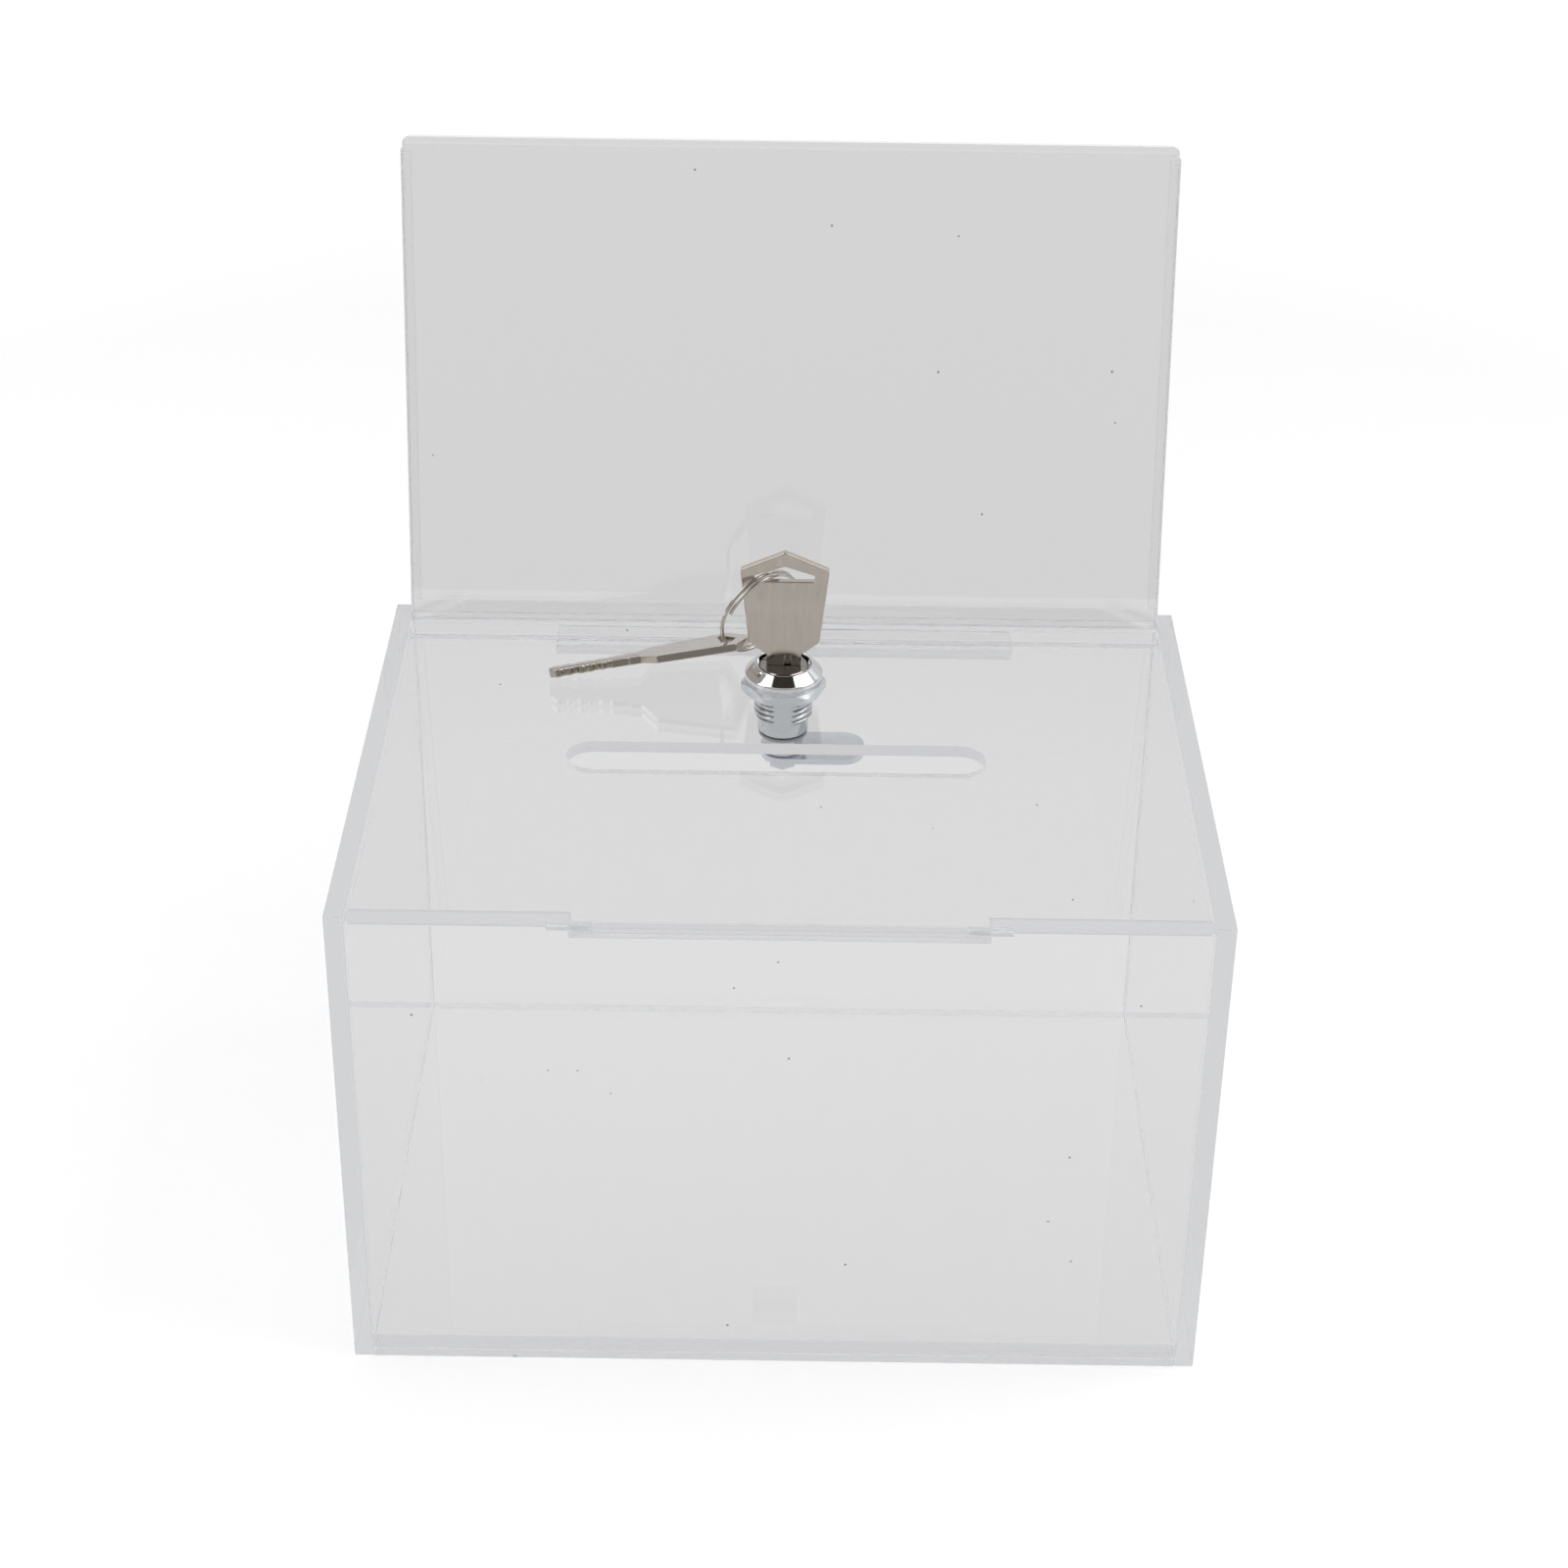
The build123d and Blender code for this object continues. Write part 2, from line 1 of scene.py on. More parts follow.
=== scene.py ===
# Clear acrylic ballot box with a leaning sign holder, a cam lock and two keys.
import math

import bmesh
import bpy
from mathutils import Matrix, Vector


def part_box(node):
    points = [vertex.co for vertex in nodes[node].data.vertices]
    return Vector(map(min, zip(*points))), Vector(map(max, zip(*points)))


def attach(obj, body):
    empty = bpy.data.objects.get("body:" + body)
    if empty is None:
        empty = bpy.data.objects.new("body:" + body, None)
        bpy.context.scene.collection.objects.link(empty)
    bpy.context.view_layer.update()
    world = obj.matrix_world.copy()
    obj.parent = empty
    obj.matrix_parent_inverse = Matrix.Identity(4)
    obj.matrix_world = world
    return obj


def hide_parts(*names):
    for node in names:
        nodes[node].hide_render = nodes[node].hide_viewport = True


mm = 0.001
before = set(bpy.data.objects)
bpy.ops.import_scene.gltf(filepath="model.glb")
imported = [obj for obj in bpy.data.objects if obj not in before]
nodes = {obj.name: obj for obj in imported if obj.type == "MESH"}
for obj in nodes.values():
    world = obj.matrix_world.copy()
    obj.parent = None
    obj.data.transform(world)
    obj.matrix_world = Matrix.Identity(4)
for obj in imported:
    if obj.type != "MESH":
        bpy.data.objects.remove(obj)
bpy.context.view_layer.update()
scene = bpy.context.scene
print("frame loaded:", len(nodes), "nodes")

# Places that many pieces share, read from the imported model
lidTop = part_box("lid_panel")[1].z
housingLow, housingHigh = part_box("lock_housing")
nutLow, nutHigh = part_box("lock_nut")
lockCentre = Vector(((housingLow.x + housingHigh.x) / 2, (housingLow.y + housingHigh.y) / 2, 0))


# Small helpers for colours, nodes, meshes and pieces
def linearColour(hexText):
    channels = [int(hexText[i:i + 2], 16) / 255 for i in (1, 3, 5)]
    return [c / 12.92 if c <= 0.04045 else ((c + 0.055) / 1.055) ** 2.4 for c in channels] + [1.0]


def addNode(tree, kind, values=None, links=None, **settings):
    node = tree.nodes.new(kind)
    for key, value in settings.items():
        setattr(node, key, value)
    for key, value in (values or {}).items():
        node.inputs[key].default_value = value
    for key, source in (links or {}).items():
        tree.links.new(source, node.inputs[key])
    return node


def newMaterial(name):
    material = bpy.data.materials.new(name)
    material.use_nodes = True
    material.node_tree.nodes.clear()
    return material, material.node_tree


def objectPoints(tree, scale=(1, 1, 1), turn=(0, 0, 0)):
    coords = addNode(tree, "ShaderNodeTexCoord")
    mapping = addNode(tree, "ShaderNodeMapping", {"Scale": scale, "Rotation": turn},
                      {"Vector": coords.outputs["Object"]})
    return mapping.outputs["Vector"]


def noise(tree, points, size, detail, roughness=0.5):
    return addNode(tree, "ShaderNodeTexNoise", {"Scale": 1 / size, "Detail": detail, "Roughness": roughness},
                   {"Vector": points}).outputs["Fac"]


def spread(tree, value, fromMin, fromMax, toMin, toMax, **settings):
    return addNode(tree, "ShaderNodeMapRange",
                   {"From Min": fromMin, "From Max": fromMax, "To Min": toMin, "To Max": toMax},
                   {"Value": value}, **settings).outputs["Result"]


def newPiece(name, mesh, *materials):
    piece = bpy.data.objects.new(name, mesh)
    scene.collection.objects.link(piece)
    for material in materials:
        mesh.materials.append(material)
    return piece


def meshFrom(work, name):
    mesh = bpy.data.meshes.new(name)
    work.to_mesh(mesh)
    work.free()
    return mesh


def smoothTo(mesh, degrees):
    mesh.shade_smooth()
    mesh.set_sharp_from_angle(angle=math.radians(degrees))


def giveTo(piece, body, slot, *replaced):
    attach(piece, body)
    if replaced:
        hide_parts(*replaced)


def closedShell(name, rings):
    # Each ring goes once around; rings join in order, and the last one joins the first
    work = bmesh.new()
    loops = [[work.verts.new(point) for point in ring] for ring in rings]
    for low, high in zip(loops, loops[1:] + loops[:1]):
        for i in range(len(low)):
            j = (i + 1) % len(low)
            work.faces.new((low[i], low[j], high[j], high[i]))
    bmesh.ops.recalc_face_normals(work, faces=work.faces)
    return meshFrom(work, name)


def heldCorners(outline, hold):
    # Adds a point close to both ends of each long run, so that smooth shading stays at the corners
    held = []
    for (r0, z0), (r1, z1) in zip(outline, outline[1:] + outline[:1]):
        length = math.hypot(r1 - r0, z1 - z0)
        held.append((r0, z0))
        if length > 4 * hold:
            for share in (hold / length, 1 - hold / length):
                held.append((r0 + (r1 - r0) * share, z0 + (z1 - z0) * share))
    return held


def turned(name, outline, floor, steps):
    # Turns a closed outline of radius and height, in millimetres above the floor, about the lock's axis
    rings = []
    for radius, height in outline:
        rings.append([lockCentre + Vector((math.sin(2 * math.pi * i / steps) * radius * mm,
                                           -math.cos(2 * math.pi * i / steps) * radius * mm,
                                           floor + height * mm)) for i in range(steps)])
    return closedShell(name, rings)


def growMesh(piece, tree, settings):
    # Runs a node tree on the piece once and keeps the result as its plain mesh
    modifier = piece.modifiers.new("grow", "NODES")
    modifier.node_group = tree
    for socket in tree.interface.items_tree:
        if socket.in_out == "INPUT" and socket.name in settings:
            modifier[socket.identifier] = settings[socket.name]
    bpy.context.view_layer.update()
    evaluated = piece.evaluated_get(bpy.context.evaluated_depsgraph_get())
    grown = bpy.data.meshes.new_from_object(evaluated)
    piece.modifiers.remove(modifier)
    grown.name = piece.data.name
    piece.data = grown


def newTree(name, sockets):
    tree = bpy.data.node_groups.new(name, "GeometryNodeTree")
    tree.is_modifier = True
    tree.interface.new_socket(name="Geometry", in_out="INPUT", socket_type="NodeSocketGeometry")
    for socketName, kind in sockets.items():
        tree.interface.new_socket(name=socketName, in_out="INPUT", socket_type="NodeSocket" + kind)
    tree.interface.new_socket(name="Geometry", in_out="OUTPUT", socket_type="NodeSocketGeometry")
    return tree, addNode(tree, "NodeGroupInput").outputs


def closeTree(tree, geometry, given):
    whole = addNode(tree, "GeometryNodeRealizeInstances", links={0: geometry})
    coated = addNode(tree, "GeometryNodeSetMaterial",
                     links={"Geometry": whole.outputs[0], "Material": given["Material"]})
    addNode(tree, "NodeGroupOutput", links={0: coated.outputs[0]})
    return tree


# Cast acrylic sheet: clear, hard and glossy, with faint handling smudges, a few dust specks
# and a very slow ripple in its faces. Most of the light goes through, so what is inside is lit
castAcrylic = {
    "tint": "#FBFBFB", "ior": 1.491, "lightPass": 0.96,
    "clearRoughness": 0.0, "smudgeRoughness": 0.02, "smudgeSize": 45 * mm, "smudgeDetail": 3.0,
    "smudgeFrom": 0.5, "smudgeTo": 0.75,
    "rippleSize": 70 * mm, "rippleHeight": 0.005 * mm, "rippleDetail": 1.0,
    "speckTone": "#6E6C68", "speckSpacing": 17 * mm, "speckRadius": 0.32 * mm,
}
# Saw-cut and flame-polished edge: the same sheet, slightly hazy, so it shows as a flat pale grey band
cutEdge = {
    "tint": "#ECEDEE", "ior": 1.491, "clearShare": 0.8, "lightPass": 0.9,
    "lowRoughness": 0.03, "highRoughness": 0.07, "sawMark": 3 * mm, "sawDetail": 2.0,
    "sawFrom": 0.3, "sawTo": 0.7,
}
# Painted glow: light that has bounced along inside a sheet for long is shown as an emission of the studio's
# own pale grey
paintedDeepGlow = {"tone": "#D3D3D5", "afterGlossy": 1.5, "afterAll": 10.5}


def shadowAlpha(tree, lightPass):
    path = addNode(tree, "ShaderNodeLightPath")
    alpha = addNode(tree, "ShaderNodeMath", {1: -lightPass, 2: 1.0}, {0: path.outputs["Is Shadow Ray"]},
                    operation="MULTIPLY_ADD")
    return alpha.outputs[0]


def closeWithPaintedGlow(tree, shader):
    # Deep paths inside the sheet end in a painted pale glow in place of the sheet's own shading
    path = addNode(tree, "ShaderNodeLightPath")
    mirrored = addNode(tree, "ShaderNodeMath", {1: paintedDeepGlow["afterGlossy"]},
                       {0: path.outputs["Glossy Depth"]}, operation="GREATER_THAN")
    deep = addNode(tree, "ShaderNodeMath", {1: paintedDeepGlow["afterAll"]},
                   {0: path.outputs["Ray Depth"]}, operation="GREATER_THAN")
    either = addNode(tree, "ShaderNodeMath", links={0: mirrored.outputs[0], 1: deep.outputs[0]},
                     operation="MAXIMUM")
    glow = addNode(tree, "ShaderNodeEmission", {"Color": linearColour(paintedDeepGlow["tone"])})
    seen = addNode(tree, "ShaderNodeMixShader",
                   links={0: either.outputs[0], 1: shader.outputs[0], 2: glow.outputs[0]})
    addNode(tree, "ShaderNodeOutputMaterial", links={"Surface": seen.outputs[0]})


def makeAcrylicFace():
    look = castAcrylic
    material, tree = newMaterial("castAcrylicFace")
    points = objectPoints(tree)
    smudges = noise(tree, points, look["smudgeSize"], look["smudgeDetail"])
    rough = spread(tree, smudges, look["smudgeFrom"], look["smudgeTo"],
                   look["clearRoughness"], look["smudgeRoughness"])
    ripple = noise(tree, points, look["rippleSize"], look["rippleDetail"])
    bump = addNode(tree, "ShaderNodeBump", {"Strength": 1.0, "Distance": look["rippleHeight"]},
                   {"Height": ripple})
    specks = addNode(tree, "ShaderNodeTexVoronoi", {"Scale": 1 / look["speckSpacing"]}, {"Vector": points})
    isSpeck = addNode(tree, "ShaderNodeMath", {1: look["speckRadius"] / look["speckSpacing"]},
                      {0: specks.outputs["Distance"]}, operation="LESS_THAN")
    tone = addNode(tree, "ShaderNodeMix",
                   {"A": linearColour(look["tint"]), "B": linearColour(look["speckTone"])},
                   {"Factor": isSpeck.outputs[0]}, data_type="RGBA")
    shader = addNode(tree, "ShaderNodeBsdfPrincipled", {"Transmission Weight": 1.0, "IOR": look["ior"]},
                     {"Base Color": tone.outputs["Result"], "Roughness": rough,
                      "Normal": bump.outputs["Normal"], "Alpha": shadowAlpha(tree, look["lightPass"])})
    closeWithPaintedGlow(tree, shader)
    return material


def makeAcrylicEdge():
    look = cutEdge
    material, tree = newMaterial("sawCutAcrylicEdge")
    saw = noise(tree, objectPoints(tree), look["sawMark"], look["sawDetail"])
    rough = spread(tree, saw, look["sawFrom"], look["sawTo"], look["lowRoughness"], look["highRoughness"])
    shader = addNode(tree, "ShaderNodeBsdfPrincipled",
                     {"Base Color": linearColour(look["tint"]), "IOR": look["ior"],
                      "Transmission Weight": look["clearShare"]},
                     {"Roughness": rough, "Alpha": shadowAlpha(tree, look["lightPass"])})
    closeWithPaintedGlow(tree, shader)
    return material


# What all the metals share: a cloudy grain that shifts their tone, gloss and relief a little
metalGrain = {"detail": 4.0, "roughness": 0.6, "from": 0.3, "to": 0.7, "headFade": 1 * mm}


def makeMetal(name, finish, stretch=(1, 1, 1), turn=(0, 0, 0)):
    material, tree = newMaterial(name)
    points = objectPoints(tree, stretch, turn)
    mottle = noise(tree, points, finish["grain"], metalGrain["detail"], metalGrain["roughness"])
    tone = addNode(tree, "ShaderNodeMix",
                   {"A": linearColour(finish["worn"]), "B": linearColour(finish["clean"])},
                   {"Factor": mottle}, data_type="RGBA")
    colour = tone.outputs["Result"]
    # Painted reflection: the head above the lid is darkened towards a warm dark grey
    if "paintedHeadShade" in finish:
        height = addNode(tree, "ShaderNodeSeparateXYZ", links={0: objectPoints(tree)})
        above = spread(tree, height.outputs["Z"], lidTop - metalGrain["headFade"], lidTop, 0, 1)
        headShaded = addNode(tree, "ShaderNodeMix", {"B": linearColour(finish["paintedHeadShade"])},
                         {"Factor": above, "A": colour}, data_type="RGBA")
        colour = headShaded.outputs["Result"]
    # Painted shade: the thread's roots are darkened, standing in for the shade that falls in them
    if "paintedRootShade" in finish:
        roots = addNode(tree, "ShaderNodeAttribute", attribute_name="threadRoot")
        rootShaded = addNode(tree, "ShaderNodeMix", {"B": linearColour(finish["paintedRootShade"])},
                          {"Factor": roots.outputs["Fac"], "A": colour}, data_type="RGBA")
        colour = rootShaded.outputs["Result"]
    rough = spread(tree, mottle, metalGrain["from"], metalGrain["to"], finish["smooth"], finish["rough"])
    bump = addNode(tree, "ShaderNodeBump", {"Strength": 1.0, "Distance": finish["relief"]},
                   {"Height": mottle})
    shader = addNode(tree, "ShaderNodeBsdfPrincipled", {"Metallic": 1.0},
                     {"Base Color": colour, "Roughness": rough, "Normal": bump.outputs["Normal"]})
    addNode(tree, "ShaderNodeOutputMaterial", links={"Surface": shader.outputs["BSDF"]})
    return material


acrylicFace = makeAcrylicFace()
acrylicEdge = makeAcrylicEdge()
# Chrome plate on a turned and polished cap: a near mirror
chromePlate = makeMetal("polishedChromePlate", {
    "clean": "#E6E7E8", "worn": "#DEDFE1", "smooth": 0.02, "rough": 0.05, "grain": 3 * mm, "relief": 0.0})
# Zinc plate on a die casting: pale bluish grey, soft gloss, faint mottling, and painted shade darkening the
# thread's roots
zincPlate = makeMetal("bluishZincPlate", {
    "clean": "#DFE3E7", "worn": "#D6DBDF", "paintedRootShade": "#454A4E", "smooth": 0.2, "rough": 0.26,
    "grain": 1.2 * mm, "relief": 0.0003 * mm})
# Satin nickel on the turned plug: pale, and warm and darker at its head above the lid, where the dark
# reflection of the key's neck is painted in
satinPlug = makeMetal("satinNickelPlug", {
    "clean": "#D0D3D6", "worn": "#C4C8CC", "paintedHeadShade": "#9D9893", "smooth": 0.1, "rough": 0.18,
    "grain": 1.2 * mm, "relief": 0.002 * mm})
# Nickel plate on stamped brass: warm grey, with a lengthwise rolling grain that is coarser than real
keyNickel = {"clean": "#D2CABF", "worn": "#C7BEB3", "smooth": 0.14, "rough": 0.22,
             "grain": 0.9 * mm, "relief": 0.0015 * mm}
rollingGrain = {"stretch": 0.12, "spareTurn": math.radians(-9.9)}
uprightNickel = makeMetal("stampedNickelUpright", keyNickel, (1, 1, rollingGrain["stretch"]))
lyingNickel = makeMetal("stampedNickelLying", keyNickel, (rollingGrain["stretch"], 1, 1),
                        (0, 0, rollingGrain["spareTurn"]))
# Nickel plate on drawn spring wire: bright and smooth
nickelWire = makeMetal("drawnNickelWire", {
    "clean": "#C6C1BB", "worn": "#B7B0A8", "smooth": 0.03, "rough": 0.07, "grain": 1.0 * mm, "relief": 0.0})
# Rolled spring steel, dull
springSteel = makeMetal("rolledSpringSteel", {
    "clean": "#A9ABAD", "worn": "#8E9194", "smooth": 0.25, "rough": 0.38,
    "grain": 0.8 * mm, "relief": 0.002 * mm})
# Stamped brass wafer, unplated
waferBrass = makeMetal("stampedWaferBrass", {
    "clean": "#CDAE6B", "worn": "#B08F4E", "smooth": 0.25, "rough": 0.4,
    "grain": 0.8 * mm, "relief": 0.002 * mm})
print("materials made")


# Acrylic sheets: bevelled copies of the CAD sheets, clear on their broad faces and hazy on their cut edges
sheetFinish = {
    "edgeRound": 0.22 * mm, "roundSteps": 2, "sharpFrom": 25, "narrowShare": 0.4,
    "jointGap": 0.02 * mm, "mergeWithin": 0.002 * mm, "flatWithin": 0.5, "sameWay": 0.9, "broadWay": 0.95,
}
sheetNames = {
    "base_panel": "baseSheet", "front_panel": "frontSheet", "back_panel": "backSheet",
    "left_side_panel": "leftSheet", "right_side_panel": "rightSheet", "rear_deck": "deckSheet",
    "keeper_strip": "keeperStrip", "keeper_block": "keeperBlock", "sign_front_sheet": "signFrontSheet",
    "sign_rear_sheet": "signRearSheet", "sign_bottom_spacer": "signBottomSpacer",
    "sign_left_spacer": "signLeftSpacer", "sign_right_spacer": "signRightSpacer", "lid_panel": "lidSheet",
}


def mergedCopy(node):
    work = bmesh.new()
    work.from_mesh(nodes[node].data)
    bmesh.ops.remove_doubles(work, verts=work.verts, dist=sheetFinish["mergeWithin"])
    bmesh.ops.dissolve_limit(work, angle_limit=math.radians(sheetFinish["flatWithin"]),
                             verts=work.verts, edges=work.edges)
    return work


def pullIn(work, distance):
    # Draws every face in a little, so that sheets that meet don't share a plane
    moves = []
    for vert in work.verts:
        normals = []
        for face in vert.link_faces:
            if all(face.normal.dot(other) < sheetFinish["sameWay"] for other in normals):
                normals.append(face.normal.copy())
        moves.append(sum(normals, Vector()) * -distance)
    for vert, move in zip(work.verts, moves):
        vert.co += move


def roundEdges(work, width, steps, clamp=True):
    sharpFrom = math.radians(sheetFinish["sharpFrom"])
    sharp = [edge for edge in work.edges if edge.is_manifold and edge.calc_face_angle(0) > sharpFrom]
    bmesh.ops.bevel(work, geom=sharp, offset=width, segments=steps, profile=0.5, affect="EDGES",
                    clamp_overlap=clamp)
    work.normal_update()


def smoothNarrow(work, width):
    # Only the narrow strips of the rounded edges are shaded smooth; broad faces stay flat
    for face in work.faces:
        face.smooth = face.calc_area() / face.calc_perimeter() < sheetFinish["narrowShare"] * width


def makeSheet(node, name, body):
    work = mergedCopy(node)
    pullIn(work, sheetFinish["jointGap"])
    roundEdges(work, sheetFinish["edgeRound"], sheetFinish["roundSteps"])
    smoothNarrow(work, sheetFinish["edgeRound"])
    broadWay = max(work.faces, key=lambda face: face.calc_area()).normal.copy()
    for face in work.faces:
        face.material_index = 0 if abs(face.normal.dot(broadWay)) > sheetFinish["broadWay"] else 1
    piece = newPiece(name, meshFrom(work, name), acrylicFace, acrylicEdge)
    giveTo(piece, body, "clear_acrylic", node)


for node, name in sheetNames.items():
    makeSheet(node, name, "lid" if node == "lid_panel" else "box")
print("acrylic sheets made")

# Lock cap: a turned bezel with a cone and a small round lip, radius and height above the lid in millimetres
lockCap = {
    "outline": [(5.2, 0.02), (9.5, 0.02), (9.66, 0.06), (9.7, 0.2), (9.7, 0.98), (9.66, 1.16), (9.5, 1.36),
                (7.44, 3.38), (7.3, 3.47), (7.14, 3.5), (6.98, 3.46), (6.87, 3.34), (6.85, 3.2), (6.85, 1.15),
                (5.2, 1.15)],
    "steps": 160, "hold": 0.05, "smooth": 40,
}


def makeLockCap():
    outline = heldCorners(lockCap["outline"], lockCap["hold"])
    mesh = turned("lockCap", outline, lidTop, lockCap["steps"])
    smoothTo(mesh, lockCap["smooth"])
    giveTo(newPiece("lockCap", mesh, chromePlate), "lid", "chrome_plate", "lock_housing")


# Lock barrel: thread above, plain casting below, heights above its lower end, all in millimetres
lockBarrel = {
    "bore": 5.15, "lowerRadius": 6.3, "lowerChamfer": 0.6, "lowerRun": 4.2, "rootRadius": 6.75,
    "rowStep": 0.125, "pitch": 1.5, "depth": 0.55, "flank": 0.35, "flatReach": 6.46, "steps": 192,
    "easeIn": 0.04, "easeDown": 0.03, "stepEase": 0.02, "smooth": 38,
}
# Where the thread fades in, in pitches, and how close a point must be to count as on the wall or on a flat
threadLimits = {"runOut": 0.6, "wallShare": 0.98, "belowBottom": 0.01 * mm, "sameFlat": 0.001 * mm}
# The parting line that the die leaves down the middle of each flat, in millimetres
partingLine = {"width": 0.3, "height": 0.1, "sink": 0.02, "fromShoulder": 0.8, "pastNut": 0.2, "sides": 6,
               "smooth": 50}


def threadTree():
    tree, given = newTree("cutThread", {
        "Centre": "Vector", "Bottom": "Float", "Pitch": "Float", "Depth": "Float", "Flank": "Float",
        "Root": "Float", "Flat": "Float", "Material": "Material"})

    def math2(operation, values=None, links=None):
        return addNode(tree, "ShaderNodeMath", values, links, operation=operation).outputs[0]

    # The point's place around and above the thread's start
    place = addNode(tree, "GeometryNodeInputPosition")
    fromCentre = addNode(tree, "ShaderNodeVectorMath", links={0: place.outputs[0], 1: given["Centre"]},
                         operation="SUBTRACT")
    parts = addNode(tree, "ShaderNodeSeparateXYZ", links={0: fromCentre.outputs[0]})
    level = addNode(tree, "ShaderNodeVectorMath", {1: (1, 1, 0)}, {0: fromCentre.outputs[0]},
                    operation="MULTIPLY")
    radius = addNode(tree, "ShaderNodeVectorMath", links={0: level.outputs[0]},
                     operation="LENGTH").outputs["Value"]
    angle = math2("ARCTAN2", links={0: parts.outputs[1], 1: parts.outputs[0]})
    turns = math2("MULTIPLY", {1: 1 / (2 * math.pi)}, {0: angle})
    rise = math2("SUBTRACT", links={0: parts.outputs[2], 1: given["Bottom"]})
    pitches = math2("DIVIDE", links={0: rise, 1: given["Pitch"]})
    phase = math2("SUBTRACT", links={0: pitches, 1: turns})
    fold = math2("PINGPONG", {1: 0.5}, {0: phase})
    # The thread's height there, and the wall moved out to it
    crest = addNode(tree, "ShaderNodeMapRange", {"From Min": 0.0, "To Min": 0.0, "To Max": 1.0},
                    {"Value": fold, "From Max": given["Flank"]}).outputs[0]
    runOut = addNode(tree, "ShaderNodeMapRange",
                     {"From Min": 0.0, "From Max": threadLimits["runOut"], "To Min": 0.0, "To Max": 1.0},
                     {"Value": pitches}).outputs[0]
    share = math2("MULTIPLY", links={0: crest, 1: runOut})
    newRadius = math2("MULTIPLY_ADD", links={0: share, 1: given["Depth"], 2: given["Root"]})
    grow = math2("DIVIDE", links={0: newRadius, 1: radius})
    moved = addNode(tree, "ShaderNodeVectorMath", links={0: level.outputs[0], "Scale": grow},
                    operation="SCALE")
    movedParts = addNode(tree, "ShaderNodeSeparateXYZ", links={0: moved.outputs[0]})
    # Cut back to the two flats
    negative = math2("MULTIPLY", {1: -1.0}, {0: given["Flat"]})
    front = math2("MAXIMUM", links={0: movedParts.outputs[1], 1: negative})
    flat = math2("MINIMUM", links={0: front, 1: given["Flat"]})
    joined = addNode(tree, "ShaderNodeCombineXYZ",
                     links={0: movedParts.outputs[0], 1: flat, 2: parts.outputs[2]})
    final = addNode(tree, "ShaderNodeVectorMath", links={0: joined.outputs[0], 1: given["Centre"]},
                    operation="ADD")
    # Only the outer wall above the shoulder moves, and its roots are marked for the painted root shade
    nearRoot = math2("MULTIPLY", {1: threadLimits["wallShare"]}, {0: given["Root"]})
    outer = math2("GREATER_THAN", links={0: radius, 1: nearRoot})
    above = math2("GREATER_THAN", {1: -threadLimits["belowBottom"]}, {0: rise})
    wall = math2("MULTIPLY", links={0: outer, 1: above})
    offFlat = math2("COMPARE", {2: threadLimits["sameFlat"]}, {0: flat, 1: movedParts.outputs[1]})
    root = math2("SUBTRACT", {0: 1.0}, {1: crest})
    inThread = math2("MULTIPLY", links={0: wall, 1: offFlat})
    shaded = math2("MULTIPLY", links={0: root, 1: inThread})
    stored = addNode(tree, "GeometryNodeStoreNamedAttribute", {"Name": "threadRoot"},
                     {"Geometry": given["Geometry"], "Value": shaded}, data_type="FLOAT", domain="POINT")
    cut = addNode(tree, "GeometryNodeSetPosition",
                  links={"Geometry": stored.outputs[0], "Selection": wall, "Position": final.outputs[0]})
    return closeTree(tree, cut.outputs[0], given)


def makeLockBarrel():
    size = lockBarrel
    low, shoulder = housingLow.z, housingLow.z + size["lowerRun"] * mm
    top = (lidTop - low) / mm
    rows = int((top - size["lowerRun"]) / size["rowStep"])
    outline = [(size["bore"], 0.0), (size["lowerRadius"] - size["lowerChamfer"], 0.0),
               (size["lowerRadius"] - size["easeIn"], size["lowerChamfer"] - size["easeDown"]),
               (size["lowerRadius"], size["lowerChamfer"] + size["easeIn"]),
               (size["lowerRadius"], size["lowerRun"] - size["stepEase"])]
    outline += [(size["rootRadius"], size["lowerRun"] + (top - size["lowerRun"]) * i / rows)
                for i in range(rows + 1)]
    outline.append((size["bore"], top))
    barrel = newPiece("lockBarrel", turned("lockBarrel", outline, low, size["steps"]), zincPlate)
    growMesh(barrel, threadTree(), {
        "Centre": lockCentre, "Bottom": shoulder, "Pitch": size["pitch"] * mm, "Depth": size["depth"] * mm,
        "Flank": size["flank"], "Root": size["rootRadius"] * mm, "Flat": size["flatReach"] * mm,
        "Material": zincPlate})
    smoothTo(barrel.data, size["smooth"])
    giveTo(barrel, "lid", "zinc_plate", "lock_housing")
    makeBarrelSeam(shoulder)


def makeBarrelSeam(shoulder):
    line = partingLine
    sides = line["sides"]
    levels = (shoulder + line["fromShoulder"] * mm, nutLow.z + line["pastNut"] * mm)
    work = bmesh.new()
    for side in (-1, 1):
        wall = lockCentre.y + side * lockBarrel["flatReach"] * mm
        ends = []
        for z in levels:
            ring = []
            for step in range(sides + 1):
                across = math.pi * step / sides
                out = math.sin(across) * line["height"] - line["sink"]
                ring.append(work.verts.new((lockCentre.x + math.cos(across) * line["width"] / 2 * mm,
                                            wall + side * out * mm, z)))
            ends.append(ring)
        for i in range(sides):
            work.faces.new((ends[0][i], ends[0][i + 1], ends[1][i + 1], ends[1][i]))
        work.faces.new((ends[0][0], ends[0][-1], ends[1][-1], ends[1][0]))
        work.faces.new(ends[0])
        work.faces.new(ends[1])
    bmesh.ops.recalc_face_normals(work, faces=work.faces)
    mesh = meshFrom(work, "barrelSeam")
    smoothTo(mesh, line["smooth"])
    giveTo(newPiece("barrelSeam", mesh, zincPlate), "lid", "zinc_plate", "lock_housing")


